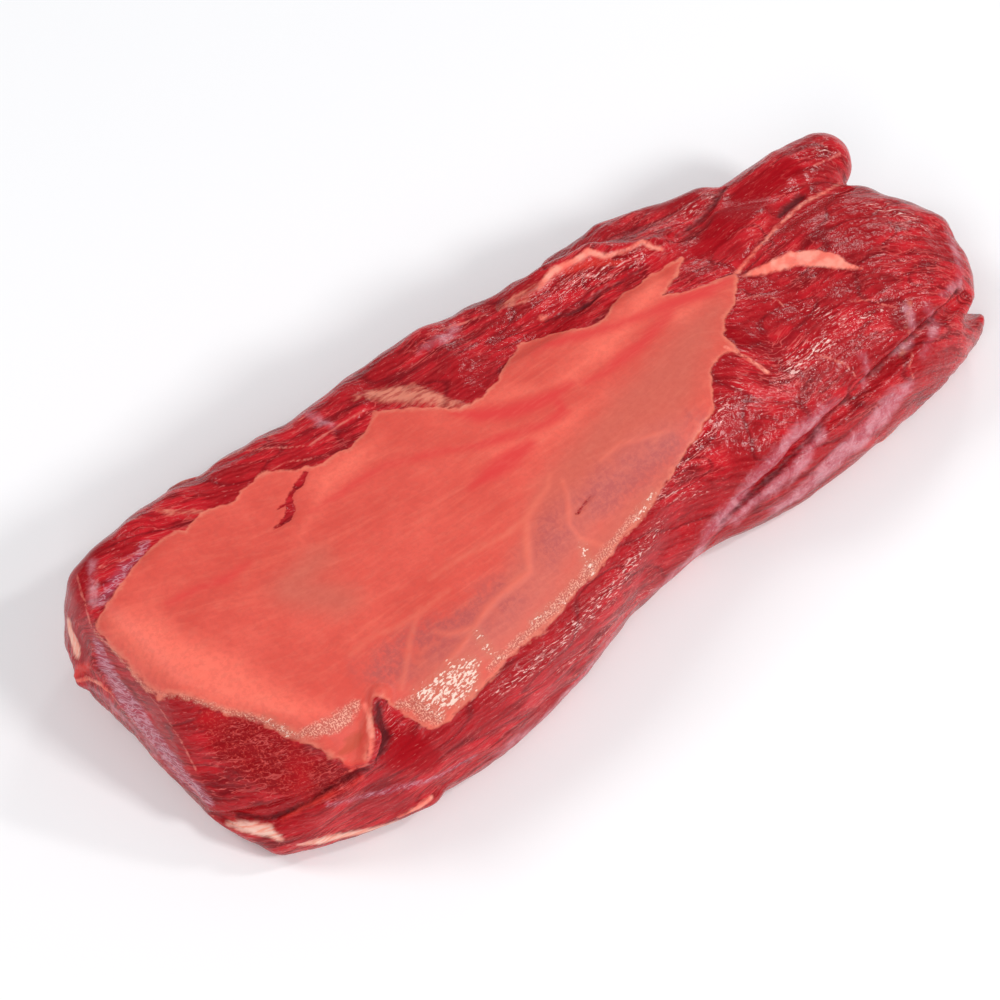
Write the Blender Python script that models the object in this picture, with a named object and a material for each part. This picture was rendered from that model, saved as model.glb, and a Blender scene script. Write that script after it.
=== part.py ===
"""Beef shoulder roast: one boneless slab of raw beef, lying flat with its fascia side up.

The long axis is X, from the sawn end at -X to the ragged neck end at +X. +Z is up and z = 0 is the
surface that the meat lies on. Lengths inside the script are millimetres; the mesh is built in metres.

The solid is described by one function, meat(), that is negative inside the meat, zero on its skin and
roughly a distance in millimetres near it. skin() turns that function into a closed mesh of even cells.
"""

import bpy
import numpy as np

NAME = "shoulder_roast"
METRES = 0.001

# Driving dimensions
LENGTH = 420.0
WIDTH = 173.0
THICKNESS = 72.0
CENTRE = (21.2, -2.4)  # the middle of the outline below, which the mesh is moved to zero by
LUMP_HEIGHT = 0.35
LUMP_LENGTHS = (26.0, 60.0)  # shortest and longest swelling
LUMP_WAVES = 12
LUMP_SEED = 7
BULGE_HEIGHT = 18.0  # the sides stand out furthest at this height
UNDER_EDGE = 12.0  # radius of the lower edge
CELL = 3.0
TRIANGLES = 9600
PINCH_ROUNDS = 30
PINCH_FILL = 0.2  # how far inside a filled lattice point counts
REST_FACE_SKIN = 0.4  # points this near the table are on the flat rest face

# The outline seen from above, clockwise from the sawn end's back corner
OUTLINE = [
    (-173, 64), (-130, 71), (-60, 73), (0, 77), (60, 77), (130, 67), (196, 53), (226, 24), (228, -12),
    (213, -38), (183, -50), (120, -60), (80, -60), (50, -54), (20, -62), (-28, -79), (-80, -88),
    (-130, -83), (-164, -71), (-178, -44), (-182, 4), (-185, 40),
]

# The edge of the fascia, the smooth sheet on the crown, seen from above
FASCIA = [
    (-181, 24), (-150, 35), (-101, 45), (-64, 31), (-30, 42), (-2, 28), (24, 41), (61, 33), (94, 36),
    (124, 19), (113, 2), (92, -15), (66, -35), (26, -48), (-38, -71), (-94, -82), (-112, -66),
    (-134, -75), (-163, -38), (-177, -14),
]

# Crown height over the table along the length
CROWN = [(-210, 60), (-150, 66), (-90, 68), (-20, 70), (50, 68), (110, 65), (170, 59), (230, 50)]

# The two flat cuts at the sawn end, as (point, outward direction)
CUTS = [
    ((-180, 29, 57), (-0.98, -0.05, 0.16)),
    ((-176, -14, 58), (-0.715, -0.517, 0.472)),
]

# Muscles on the slab, as ropes of (x, y, z, radius)
MUSCLES = {
    "back": [(77, 71, 42, 12), (101, 69, 43, 15), (142, 60, 46, 14)],
    "roll": [(149, 55, 46, 12.5), (184, 55, 46, 15.5), (203, 57, 44, 14)],
    "neck": [(188, 26, 40, 11), (204, 30, 40, 10)],
    "upper_end": [(204, 23, 34, 12), (218, 3, 35, 12), (212, -17, 35, 11)],
    "lower_end": [(208, 28, 14, 12), (216, 0, 14, 11), (212, -28, 15, 10)],
    "shoulder": [(204, -18, 36, 12), (160, -29, 38, 16), (90, -37, 36, 18)],
    "swirl": [(104, -38, 42, 14), (84, -40, 40, 15), (66, -30, 42, 15)],
    "lower_front": [(210, -26, 14, 14), (150, -38, 18, 17), (80, -35, 18, 19), (20, -40, 18, 22)],
    "back_low": [(-150, 56, 20, 17), (-70, 56, 22, 18), (10, 60, 20, 19), (90, 58, 20, 18), (170, 44, 20, 16)],
    "back_high": [(-176, 46, 40, 4), (-120, 54, 50, 9), (-60, 58, 49, 10), (36, 65, 48, 10)],
    "flap": [(38, 58, 66, 2), (58, 60, 67, 3), (82, 60, 67, 3), (108, 47, 66, 2)],
    "heel": [(-185, 34, 21, 4), (-183, 38, 27, 4), (-181, 27, 38, 4)],
    "fat_edge": [(-159, -65, 8, 6.5), (-135, -76, 10, 5.5), (-104, -83, 12, 6)],
    "notch_lip": [(-110, -63, 62, 3), (-119, -73, 57, 4), (-128, -79, 48, 3)],
}

# Creases, seams and holes, as ropes cut out of the meat
CREASES = {
    "valley": [(7, 36, 76, 7), (40, 44, 75, 12), (100, 42, 73, 10)],
    "back_seam": [(160, 68, 62, 2.5), (132, 50, 64, 3), (118, 49, 64, 2)],
    "neck_line": [(129, 20, 65, 2), (156, 30, 62, 3), (200, 38, 53, 3.5)],
    "hole": [(181, 43, 60, 3.5), (163, 38, 61, 3)],
    "lower_seam": [(212, -31, 36, 2), (189, -38, 44, 2.6), (107, -55, 43, 2.8), (60, -58, 28, 2)],
    "end_gap": [(228, -18, 11, 6), (218, -29, 23, 6), (207, -41, 31, 3)],
    "notch": [(-108, -70, 66, 5), (-107, -83, 60, 13), (-116, -92, 46, 10)],
    "sawn_seam": [(-178, -46, 14, 3), (-163, -64, 24, 4), (-143, -76, 43, 4), (-128, -84, 51, 4)],
    "back_groove": [(-176, 66, 33, 3), (-80, 77, 36, 3), (20, 84, 36, 3), (80, 84, 33, 3)],
    "end_groove": [(-190, 40, 38, 2), (-186, 0, 30, 2.5), (-182, -34, 22, 2)],
}


def smooth_step(low, high, value):
    """0 below low, 1 above high, and an even ease between them."""
    t = np.clip((value - low) / (high - low), 0, 1)
    return t * t * (3 - 2 * t)


def smooth_min(a, b, ease):
    """The lower of two distances, with the crease between them eased over this many millimetres."""
    share = np.clip(0.5 + 0.5 * (b - a) / ease, 0, 1)
    return b + (a - b) * share - ease * share * (1 - share)


def smooth_max(a, b, ease):
    return -smooth_min(-a, -b, ease)


def along(curve, x):
    """Reads a curve of (x, value) points at x."""
    knots, values = np.array(curve, float).T
    return np.interp(x, knots, values)


def closed_curve(points, steps=8):
    """A smooth closed line through the points (Catmull-Rom), steps pieces to a span."""
    p = np.array(points, float)
    before, after, last = np.roll(p, 1, 0), np.roll(p, -1, 0), np.roll(p, -2, 0)
    t = (np.arange(steps) / steps)[:, None, None]
    spans = 0.5 * (
        2 * p
        + (after - before) * t
        + (2 * before - 5 * p + 4 * after - last) * t**2
        + (3 * p - before - 3 * after + last) * t**3
    )
    return spans.transpose(1, 0, 2).reshape(-1, p.shape[1])


def outline_distance(x, y, line):
    """Distance in plan from a closed line, negative inside it."""
    nearest = np.inf
    inside = False
    for (ax, ay), (bx, by) in zip(line, np.roll(line, -1, 0)):
        dx, dy = bx - ax, by - ay
        t = np.clip(((x - ax) * dx + (y - ay) * dy) / (dx * dx + dy * dy), 0, 1)
        nearest = np.minimum(nearest, (x - ax - t * dx) ** 2 + (y - ay - t * dy) ** 2)
        if ay != by:
            crosses = (ay > y) != (by > y)
            inside = inside ^ (crosses & (x < (bx - ax) * (y - ay) / (by - ay) + ax))
    return np.where(inside, -1, 1) * np.sqrt(nearest)


def roll(x, y, z, points):
    """A muscle as a tapered rope: points are (x, y, z, radius)."""
    nearest = np.inf
    for a, b in zip(points, points[1:]):
        step = np.subtract(b, a)
        span = step[:3] @ step[:3]
        t = ((x - a[0]) * step[0] + (y - a[1]) * step[1] + (z - a[2]) * step[2]) / span
        t = np.clip(t, 0, 1)
        away = np.sqrt(
            (x - a[0] - t * step[0]) ** 2 + (y - a[1] - t * step[1]) ** 2 + (z - a[2] - t * step[2]) ** 2
        )
        nearest = np.minimum(nearest, away - a[3] - t * step[3])
    return nearest


def plane(x, y, z, point, normal):
    """Distance in front of a plane."""
    n = np.array(normal, float)
    n /= np.sqrt(n @ n)
    return (x - point[0]) * n[0] + (y - point[1]) * n[1] + (z - point[2]) * n[2]


def slab(x, y, z):
    """The main body: flat below, its sides rounded over to a broad crown."""
    plan = outline_distance(x, y, closed_curve(OUTLINE))
    front = smooth_step(20, -60, y) * smooth_step(-175, -110, x)
    neck = smooth_step(120, 190, x) * smooth_step(0, 40, y)
    reach = 18 + 38 * front + 12 * neck
    crown = along(CROWN, x) - 5 * smooth_step(0, -80, y) * smooth_step(-60, 60, x)
    over = np.maximum(1 + plan / reach, 0)
    up = np.maximum(z - BULGE_HEIGHT, 0) / (crown - BULGE_HEIGHT)
    upper = (over**2.4 + up**2.4) ** (1 / 2.4) - 1
    under = np.maximum(1 + plan / UNDER_EDGE, 0)
    down = np.maximum(BULGE_HEIGHT - z, 0) / BULGE_HEIGHT
    lower = np.sqrt(under**2 + down**2) - 1
    return np.where(z > BULGE_HEIGHT, upper * reach * 0.8, lower * UNDER_EDGE)


def lumps(x, y, z):
    """Gentle swellings of the bare muscle, in millimetres; none on the fascia or at the table."""
    chance = np.random.default_rng(LUMP_SEED)
    total = 0
    for _ in range(LUMP_WAVES):
        way = chance.normal(size=3) * [0.7, 1, 1]
        pace = 2 * np.pi / chance.uniform(*LUMP_LENGTHS)
        total = total + np.sin(pace * (x * way[0] + y * way[1] + z * way[2]) + chance.uniform(0, 2 * np.pi))
    bare = smooth_step(0, 10, outline_distance(x, y, closed_curve(FASCIA, 2)))
    shown = smooth_step(2, 14, z) * np.maximum(bare, smooth_step(50, 40, z))
    return LUMP_HEIGHT * shown * total * np.sqrt(2 / LUMP_WAVES)


def meat(x, y, z):
    """Negative inside the roast, in millimetres."""
    whole = slab(x, y, z)
    for point, normal in CUTS:
        whole = smooth_max(whole, plane(x, y, z, point, normal), 2.5)
    for rope in MUSCLES.values():
        whole = smooth_min(whole, roll(x, y, z, rope), 4)
    for rope in CREASES.values():
        whole = smooth_max(whole, -roll(x, y, z, rope), 3)
    return np.maximum(whole - lumps(x, y, z), -z)


def close_pinches(value):
    """Fills in lattice points where the meat would only meet itself along an edge or at a corner."""
    cube = [(a, b, c) for a in (0, 1) for b in (0, 1) for c in (0, 1)]
    part = {0: slice(None, -1), 1: slice(1, None)}
    for _ in range(PINCH_ROUNDS):
        before = value.copy()
        for pair in ((0, 1), (0, 2), (1, 2)):
            v = np.moveaxis(value, pair, (0, 1))
            a, b, c, d = v[:-1, :-1], v[1:, 1:], v[1:, :-1], v[:-1, 1:]
            c[(a < 0) & (b < 0) & (c >= 0) & (d >= 0)] = -PINCH_FILL
            a[(c < 0) & (d < 0) & (a >= 0) & (b >= 0)] = -PINCH_FILL
        corners = {k: value[part[k[0]], part[k[1]], part[k[2]]] for k in cube}
        for k in cube[:4]:
            far = tuple(1 - i for i in k)
            rest = sum((corners[j] < 0).astype(int) for j in cube if j not in (k, far))
            both_in = (corners[k] < 0) & (corners[far] < 0) & (rest == 0)
            both_out = (corners[k] >= 0) & (corners[far] >= 0) & (rest == 6)
            corners[cube[(cube.index(k) + 1) % 8]][both_in] = -PINCH_FILL
            corners[k][both_out] = -PINCH_FILL
        if np.array_equal(before, value):
            return


def skin(solid, cell, low, high):
    """The closed quad mesh where solid() is zero, on a lattice of this cell size, as (points, faces).

    Each lattice cell that the surface crosses gets one point, at the mean of its edges' crossings, and
    each lattice edge that it crosses gets the quad of the four cells round that edge.
    """
    axes = [np.arange(a - 2 * cell, b + 3 * cell, cell) for a, b in zip(low, high)]
    value = solid(*np.meshgrid(*axes, indexing="ij", sparse=True))
    close_pinches(value)
    shape = np.array(value.shape)
    total, count = np.zeros([*(shape - 1), 3]), np.zeros(shape - 1)
    inside = value < 0
    crossings = []
    for axis in range(3):
        near = [slice(None)] * 3
        far = [slice(None)] * 3
        near[axis], far[axis] = slice(None, -1), slice(1, None)
        crosses = inside[tuple(near)] != inside[tuple(far)]
        where = np.argwhere(crosses)
        a, b = value[tuple(near)][crosses], value[tuple(far)][crosses]
        point = where.astype(float)
        point[:, axis] += a / (a - b)
        others = [i for i in range(3) if i != axis]
        for da in (0, 1):
            for db in (0, 1):
                home = where.copy()
                home[:, others[0]] -= da
                home[:, others[1]] -= db
                np.add.at(total, tuple(home.T), point)
                np.add.at(count, tuple(home.T), 1)
        crossings.append((axis, where, inside[tuple(near)][crosses]))
    used = count > 0
    index = np.full(shape - 1, -1)
    index[used] = np.arange(used.sum())
    origin = np.array([a[0] for a in axes])
    points = total[used] / count[used][:, None] * cell + origin
    faces = []
    for axis, where, starts_inside in crossings:
        u, v = [(1, 2), (2, 0), (0, 1)][axis]
        ring = []
        for du, dv in ((0, 0), (1, 0), (1, 1), (0, 1)):
            home = where.copy()
            home[:, u] -= du
            home[:, v] -= dv
            ring.append(index[tuple(home.T)])
        quad = np.stack(ring, 1)
        faces.append(np.where(starts_inside[:, None], quad, quad[:, ::-1]))
    return points, np.concatenate(faces)


def clear_scene():
    for thing in list(bpy.data.objects):
        bpy.data.objects.remove(thing)


def raw_meat():
    material = bpy.data.materials.new("raw_beef")
    material.use_nodes = True
    shader = material.node_tree.nodes["Principled BSDF"]
    shader.inputs["Base Color"].default_value = (0.42, 0.03, 0.03, 1)
    shader.inputs["Roughness"].default_value = 0.35
    shader.inputs["Metallic"].default_value = 0.0
    return material


def thin_out(piece, faces_now):
    """Merges faces where the skin is nearly flat, until about TRIANGLES are left."""
    fewer = piece.modifiers.new("fewer_faces", "DECIMATE")
    fewer.ratio = TRIANGLES / (2 * faces_now)
    thinned = bpy.data.meshes.new_from_object(piece.evaluated_get(bpy.context.evaluated_depsgraph_get()))
    piece.modifiers.clear()
    piece.data = thinned


def rest_flat(mesh):
    """Puts the points at the table exactly on it."""
    for vertex in mesh.vertices:
        if vertex.co.z < REST_FACE_SKIN * METRES:
            vertex.co.z = 0


def build():
    clear_scene()
    reach = np.array([LENGTH / 2, WIDTH / 2, THICKNESS])
    middle = np.array([*CENTRE, 0])
    points, faces = skin(meat, CELL, middle - reach * [1, 1, 0], middle + reach)
    points -= middle
    mesh = bpy.data.meshes.new(NAME)
    mesh.from_pydata((points * METRES).tolist(), [], faces.tolist())
    roast = bpy.data.objects.new(NAME, mesh)
    bpy.context.scene.collection.objects.link(roast)
    thin_out(roast, len(faces))
    rest_flat(roast.data)
    roast.data.materials.append(raw_meat())
    roast.data.shade_smooth()


build()
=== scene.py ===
"""Beef shoulder roast: the dressed model.

The meat is described by one function, meat(), in millimetres, that is negative inside it and near a
distance on its skin. A closed mesh is drawn round it, refined, and given its fibres, folds, fascia, fat
and seams as real relief. What lies where is drawn by strokes, which are placed by where they show in a
picture taken from the camera's place and are carried onto the skin along the camera's rays.
"""

import bpy
import numpy as np
from mathutils import Matrix


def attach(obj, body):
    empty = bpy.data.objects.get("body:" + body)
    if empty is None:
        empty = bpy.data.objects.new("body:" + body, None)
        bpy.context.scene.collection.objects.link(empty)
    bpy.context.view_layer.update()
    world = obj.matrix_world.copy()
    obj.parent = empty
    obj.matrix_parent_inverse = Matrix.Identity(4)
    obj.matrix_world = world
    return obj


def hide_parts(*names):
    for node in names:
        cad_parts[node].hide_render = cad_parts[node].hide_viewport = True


NODE = "shoulder_roast"
METRES = 0.001

# Driving dimensions, in millimetres
LENGTH = 420.0
WIDTH = 173.0
THICKNESS = 72.0
CENTRE = (21.2, -2.4)  # the middle of the outline below, which the mesh is moved to zero by
BULGE_HEIGHT = 18.0
UNDER_EDGE = 12.0
LUMP_HEIGHT = 0.35
LUMP_LENGTHS = (26.0, 60.0)
LUMP_WAVES = 12
LUMP_SEED = 7
CELL = 2.4
PINCH_ROUNDS = 30
PINCH_FILL = 0.2
TABLE_SKIN = 1.5  # relief fades out below this height, so that the underside stays flat
RIPPLE = 2.1  # from one small ridge along the fibres to the next

# The camera: degrees round from the front, degrees over the level, millimetres away, millimetres a pixel
CAMERA_ROUND = 36.5
CAMERA_OVER = 54.0
CAMERA_AWAY = 1500.0
MM_A_PIXEL = 0.405
PICTURE = 1000
PICTURE_MIDDLE = (515.0, 497.0)  # where the point below shows
LOOKED_AT = (-21.2, 2.4, 30.0)

OUTLINE = [
    (-173, 64), (-130, 71), (-60, 73), (0, 77), (60, 77), (130, 67), (196, 53), (226, 24), (228, -12),
    (213, -38), (183, -50), (120, -60), (80, -60), (50, -54), (20, -62), (-28, -79), (-80, -88),
    (-130, -83), (-164, -71), (-178, -44), (-182, 4), (-185, 40),
]
FASCIA = [
    (-181, 24), (-150, 35), (-101, 45), (-64, 31), (-30, 42), (-2, 28), (24, 41), (61, 33), (94, 36),
    (124, 19), (113, 2), (92, -15), (66, -35), (26, -48), (-38, -71), (-94, -82), (-112, -66),
    (-134, -75), (-163, -38), (-177, -14),
]
CROWN = [(-210, 60), (-150, 66), (-90, 68), (-20, 70), (50, 68), (110, 65), (170, 59), (230, 50)]
CUTS = [
    ((-180, 29, 57), (-0.98, -0.05, 0.16)),
    ((-176, -14, 58), (-0.715, -0.517, 0.472)),
]
MUSCLES = {
    "back": [(77, 71, 42, 12), (101, 69, 43, 15), (142, 60, 46, 14)],
    "roll": [(149, 55, 46, 12.5), (184, 55, 46, 15.5), (203, 57, 44, 14)],
    "neck": [(188, 26, 40, 11), (204, 30, 40, 10)],
    "upper_end": [(204, 23, 34, 12), (218, 3, 35, 12), (212, -17, 35, 11)],
    "lower_end": [(208, 28, 14, 12), (216, 0, 14, 11), (212, -28, 15, 10)],
    "shoulder": [(204, -18, 36, 12), (160, -29, 38, 16), (90, -37, 36, 18)],
    "swirl": [(104, -38, 42, 14), (84, -40, 40, 15), (66, -30, 42, 15)],
    "lower_front": [(210, -26, 14, 14), (150, -38, 18, 17), (80, -35, 18, 19), (20, -40, 18, 22)],
    "back_low": [(-150, 56, 20, 17), (-70, 56, 22, 18), (10, 60, 20, 19), (90, 58, 20, 18), (170, 44, 20, 16)],
    "back_high": [(-176, 46, 40, 4), (-120, 54, 50, 9), (-60, 58, 49, 10), (36, 65, 48, 10)],
    "flap": [(38, 58, 66, 2), (58, 60, 67, 3), (82, 60, 67, 3), (108, 47, 66, 2)],
    "heel": [(-185, 34, 21, 4), (-183, 38, 27, 4), (-181, 27, 38, 4)],
    "fat_edge": [(-159, -65, 8, 6.5), (-135, -76, 10, 5.5), (-104, -83, 12, 6)],
    "notch_lip": [(-110, -63, 62, 3), (-119, -73, 57, 4), (-128, -79, 48, 3)],
}
CREASES = {
    "valley": [(7, 36, 76, 7), (40, 44, 75, 12), (100, 42, 73, 10)],
    "back_seam": [(160, 68, 62, 2.5), (132, 50, 64, 3), (118, 49, 64, 2)],
    "neck_line": [(129, 20, 65, 2), (156, 30, 62, 3), (200, 38, 53, 3.5)],
    "hole": [(181, 43, 60, 3.5), (163, 38, 61, 3)],
    "lower_seam": [(212, -31, 36, 2), (189, -38, 44, 2.6), (107, -55, 43, 2.8), (60, -58, 28, 2)],
    "end_gap": [(228, -18, 11, 6), (218, -29, 23, 6), (207, -41, 31, 3)],
    "notch": [(-108, -70, 66, 5), (-107, -83, 60, 13), (-116, -92, 46, 10)],
    "sawn_seam": [(-178, -46, 14, 3), (-163, -64, 24, 4), (-143, -76, 43, 4), (-128, -84, 51, 4)],
    "back_groove": [(-176, 66, 33, 3), (-80, 77, 36, 3), (20, 84, 36, 3), (80, 84, 33, 3)],
    "end_groove": [(-190, 40, 38, 2), (-186, 0, 30, 2.5), (-182, -34, 22, 2)],
}

# The fascia's edge where it shows in the picture
FASCIA_SHOWN = [
    (95, 630), (103, 614), (112, 600), (122, 586), (132, 570), (142, 560), (152, 550), (168, 538),
    (178, 532), (186, 533), (190, 525), (200, 516), (212, 510), (225, 506), (234, 502), (240, 492),
    (250, 485), (256, 479), (268, 472), (284, 471), (298, 470), (310, 468), (323, 465), (330, 458),
    (340, 451), (350, 450), (356, 442), (364, 434), (369, 424), (374, 412), (395, 410), (439, 408),
    (460, 410), (482, 397), (495, 382), (508, 360), (520, 344), (549, 334), (566, 331), (590, 326),
    (604, 318), (610, 306), (620, 294), (636, 285), (650, 274), (664, 266), (682, 257), (677, 272),
    (662, 294), (680, 291), (706, 283), (727, 274), (737, 272), (735, 288), (733, 304), (724, 317),
    (723, 334), (731, 343), (740, 351), (727, 351), (715, 359), (711, 373), (712, 390), (715, 408),
    (704, 421), (686, 452), (669, 478), (652, 502), (634, 526), (617, 545), (600, 569), (580, 586),
    (563, 608), (547, 630), (526, 643), (502, 669), (480, 691), (462, 706), (452, 722), (432, 731),
    (418, 722), (404, 715), (388, 702), (376, 697), (374, 715), (375, 740), (366, 768),
    (352, 772), (344, 765), (327, 756), (311, 746), (295, 738), (279, 732), (263, 722), (247, 716),
    (231, 715), (215, 710), (195, 702), (179, 696), (161, 700), (151, 692), (137, 678), (123, 660),
    (107, 648),
]

STRAND_WIDTH = 0.35
# Strokes on the skin: points where they show in the picture, each with a half width in millimetres
FAT = [
    [(537, 288, 0.8), (545, 278, 1.3), (556, 269, 1.6), (575, 260, 1.3), (587, 251, 1.3), (602, 256, 1),
     (615, 253, 0.8), (630, 247, 0.8), (641, 241, 1), (650, 246, 0.9), (660, 249, 0.5)],
    [(735, 272, 0.8), (748, 258, 0.6), (757, 247, 0.5), (772, 230, 0.5), (790, 211, 0.5), (800, 202, 0.5),
     (822, 191, 0.5), (838, 182, 0.3)],
    [(742, 274, 0.6), (760, 270, 1.8), (776, 264, 3.2), (794, 258, 4.4), (815, 257, 4.8), (832, 260, 3.8),
     (844, 264, 1.6), (860, 266, 0.4)],
    [(724, 346, 0.5), (742, 354, 0.6), (755, 362, 0.6), (766, 370, 0.9)],
    [(400, 817, 0.8), (420, 808, 1.2), (432, 799, 1.2)],
    [(367, 706, 1), (371, 722, 1.3), (373, 738, 1.1), (372, 752, 0.8), (367, 766, 0.4), (352, 772, 0.3)],
    [(78, 683, 0.5), (92, 681, 0.8), (102, 686, 0.8), (112, 696, 0.4)],
    [(540, 318, 1.1), (546, 316, 0.6)],
    [(922, 404, 0.5), (900, 424, 0.9), (880, 440, 0.7)],
]
CREAM = [
    [(352, 398, 0.6), (372, 395, 2.4), (392, 396, 4.6), (412, 396, 5), (432, 399, 3.6), (452, 404, 2),
     (470, 407, 0.8)],
    [(498, 308, 0.8), (512, 300, 1.6), (526, 294, 1.6), (540, 283, 0.8)],
    [(168, 492, 0.6), (182, 485, 1.8), (194, 480, 0.8)],
    [(156, 510, 0.4), (172, 514, 1.5), (188, 516, 1.3), (202, 514, 0.6)],
    [(910, 300, 0.5), (906, 320, 0.7), (905, 340, 0.8), (900, 356, 0.5)],
]
TALLOW = [
    [(69, 626, 2.5), (71, 636, 4.5), (75, 646, 4.5), (78, 655, 2.5)],
    [(228, 824, 0.6), (240, 827, 1.8), (255, 829, 2.6), (270, 833, 2.6), (281, 840, 1.6)],
    [(300, 846, 0.8), (320, 842, 2), (345, 837, 2.2), (370, 831, 2), (400, 821, 1.6)],
]
FROST = [
    [(180, 697, 0.5), (200, 703, 0.9), (230, 713, 1.1), (262, 721, 1.2), (290, 734, 1.8)],
    [(298, 736, 1), (314, 732, 2.6), (332, 726, 3.2), (346, 718, 3.2), (356, 706, 2)],
    [(400, 706, 1.6), (415, 704, 3), (430, 716, 3), (440, 720, 2)],
    [(95, 634, 0.3), (120, 660, 0.5), (148, 692, 0.5), (176, 698, 0.3)],
    [(636, 512, 1), (610, 546, 1.6), (582, 578, 2), (550, 612, 2), (520, 640, 1.6), (490, 668, 1.2)],
]
AMBER = [
    [(344, 752, 1.6), (352, 745, 3), (360, 738, 2.4)],
]
STRANDS = [
    [(733, 300), (745, 297), (758, 294), (775, 298), (784, 305)],
    [(100, 570), (125, 562), (140, 552)],
    [(235, 455), (260, 450), (285, 448), (310, 446), (325, 435), (345, 422), (365, 410)],
    [(240, 500), (255, 485), (268, 472), (290, 462), (315, 460)],
    [(200, 478), (215, 466), (240, 452), (262, 434), (285, 421), (305, 418)],
    [(78, 578), (83, 598), (86, 604), (89, 618), (93, 631)],
    [(103, 688), (118, 702), (133, 720), (150, 742), (170, 765), (190, 788), (205, 803)],
    [(95, 632), (110, 648), (125, 664), (137, 680), (150, 695), (162, 712), (175, 732), (188, 752),
     (197, 772)],
    [(100, 700), (120, 718), (145, 748), (170, 775), (190, 795), (215, 818)],
    [(850, 300), (870, 297), (880, 302), (895, 305)],
    [(905, 340), (912, 352), (908, 365), (912, 376)],
    [(815, 353), (830, 357), (843, 362), (855, 375)],
    [(530, 300), (505, 306), (480, 316), (455, 325), (440, 330)],
    [(812, 164), (826, 158), (838, 152)],
]
VEINS = [
    [(530, 572, 1.3), (527, 545, 1.5), (526, 519, 1.1), (536, 503, 0.9), (547, 488, 0.6), (550, 474, 0.3)],
    [(526, 519, 0.9), (507, 534, 0.8), (480, 549, 0.7), (455, 562, 0.5), (430, 580, 0.4)],
    [(530, 572, 1.2), (507, 590, 1.1), (488, 608, 1.1), (475, 628, 1), (450, 635, 0.6), (435, 632, 0.4)],
    [(562, 480, 0.4), (568, 498, 0.8), (569, 524, 0.9), (580, 538, 0.8), (602, 545, 0.5)],
    [(475, 628, 0.6), (462, 648, 0.7), (446, 664, 0.4)],
    [(420, 610, 0.5), (411, 640, 0.6), (406, 672, 0.6), (402, 690, 0.4)],
    [(450, 590, 0.3), (432, 604, 0.5), (414, 618, 0.5), (395, 628, 0.4), (370, 640, 0.4), (352, 656, 0.3)],
    [(600, 460, 0.3), (618, 444, 0.5), (640, 438, 0.4), (668, 430, 0.3)],
]
STREAKS = [
    [(728, 280, 1.2), (706, 290, 3.4), (690, 296, 3), (672, 303, 2.6), (650, 312, 2), (612, 326, 2),
     (580, 336, 1.6), (545, 345, 1.4), (532, 354, 0.6)],
    [(672, 308, 1), (655, 328, 2.4), (640, 344, 2.6), (622, 358, 2.6), (604, 372, 1.6), (585, 382, 0.8)],
    [(570, 384, 1), (556, 394, 3), (536, 404, 3.6), (510, 412, 4), (480, 416, 3), (455, 414, 1.4)],
    [(556, 400, 2), (562, 412, 2.2), (545, 424, 1.4), (510, 436, 1.6), (480, 446, 0.9), (440, 452, 0.9),
     (413, 460, 0.8), (386, 466, 0.8), (352, 487, 0.6), (330, 502, 0.4), (310, 514, 0.3)],
    [(530, 444, 2), (512, 458, 3.6), (490, 474, 3.2), (472, 488, 1.4)],
    [(250, 565, 1), (225, 582, 2), (200, 590, 1.4), (170, 606, 0.8)],
]
BEIGE = [
    [(715, 310, 6), (690, 340, 11), (665, 385, 16), (640, 430, 20), (600, 470, 18), (570, 510, 16),
     (545, 560, 14), (510, 610, 12), (460, 650, 12), (420, 670, 9)],
    [(690, 450, 5), (650, 492, 9), (620, 525, 10), (590, 560, 10), (556, 602, 9), (520, 640, 7)],
    [(320, 560, 8), (290, 590, 10), (340, 600, 8)],
]
GREY = [
    [(690, 420, 6), (660, 450, 9), (625, 475, 10), (590, 500, 9), (560, 525, 8), (540, 560, 8), (510, 590, 8),
     (470, 615, 10), (430, 640, 11), (400, 662, 10), (368, 672, 7)],
]
# Painted shade: near-black strokes in the hole, the notch wall, the seams and the valley under the flap, also
# sunk as creases
PAINTED_SHADE_CREASES = [
    [(800, 194, 1.8), (790, 202, 2), (778, 214, 1.2)],
    [(379, 704, 1.2), (383, 720, 3.4), (386, 738, 4), (381, 757, 2.6)],
    [(543, 268, 0.7), (546, 257, 0.8), (552, 247, 0.5)],
    [(240, 817, 0.8), (252, 818, 0.6), (268, 820, 0.5), (285, 815, 0.6), (310, 803, 0.6), (325, 793, 0.7),
     (340, 783, 0.9), (355, 776, 1.1), (370, 770, 1)],
    [(957, 289, 1.2), (932, 316, 0.6), (907, 337, 0.7), (879, 364, 0.8), (862, 377, 0.6), (840, 402, 0.5),
     (812, 434, 0.9), (797, 448, 0.7), (778, 468, 0.8), (756, 488, 0.7), (738, 506, 0.5), (722, 522, 0.4)],
    [(722, 187, 1), (712, 203, 1), (700, 218, 0.9), (685, 230, 0.7), (675, 235, 0.4)],
    [(545, 320, 0.5), (570, 312, 0.7), (588, 302, 1), (598, 292, 0.9), (620, 281, 0.7), (640, 268, 0.5)],
]
OPEN = [
    [(305, 474, 1.2), (300, 484, 1.7), (291, 494, 0.9), (289, 502, 1.6), (291, 511, 1.9), (287, 520, 1.6),
     (272, 531, 0.3)],
    [(276, 511, 0.2), (285, 506, 0.8)],
    [(593, 493, 0.2), (585, 503, 0.6), (576, 514, 0.4)],
]
LIPS = [
    [(366, 763, 1.4), (354, 767, 1.8), (346, 763, 1)],
    [(560, 272, 1.2), (590, 262, 2), (620, 262, 1)],
    [(76, 678, 1), (82, 672, 2.2), (90, 668, 1.2)],
    [(365, 778, 0.8), (330, 796, 1), (300, 811, 1.2), (285, 820, 0.8)],
]
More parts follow.
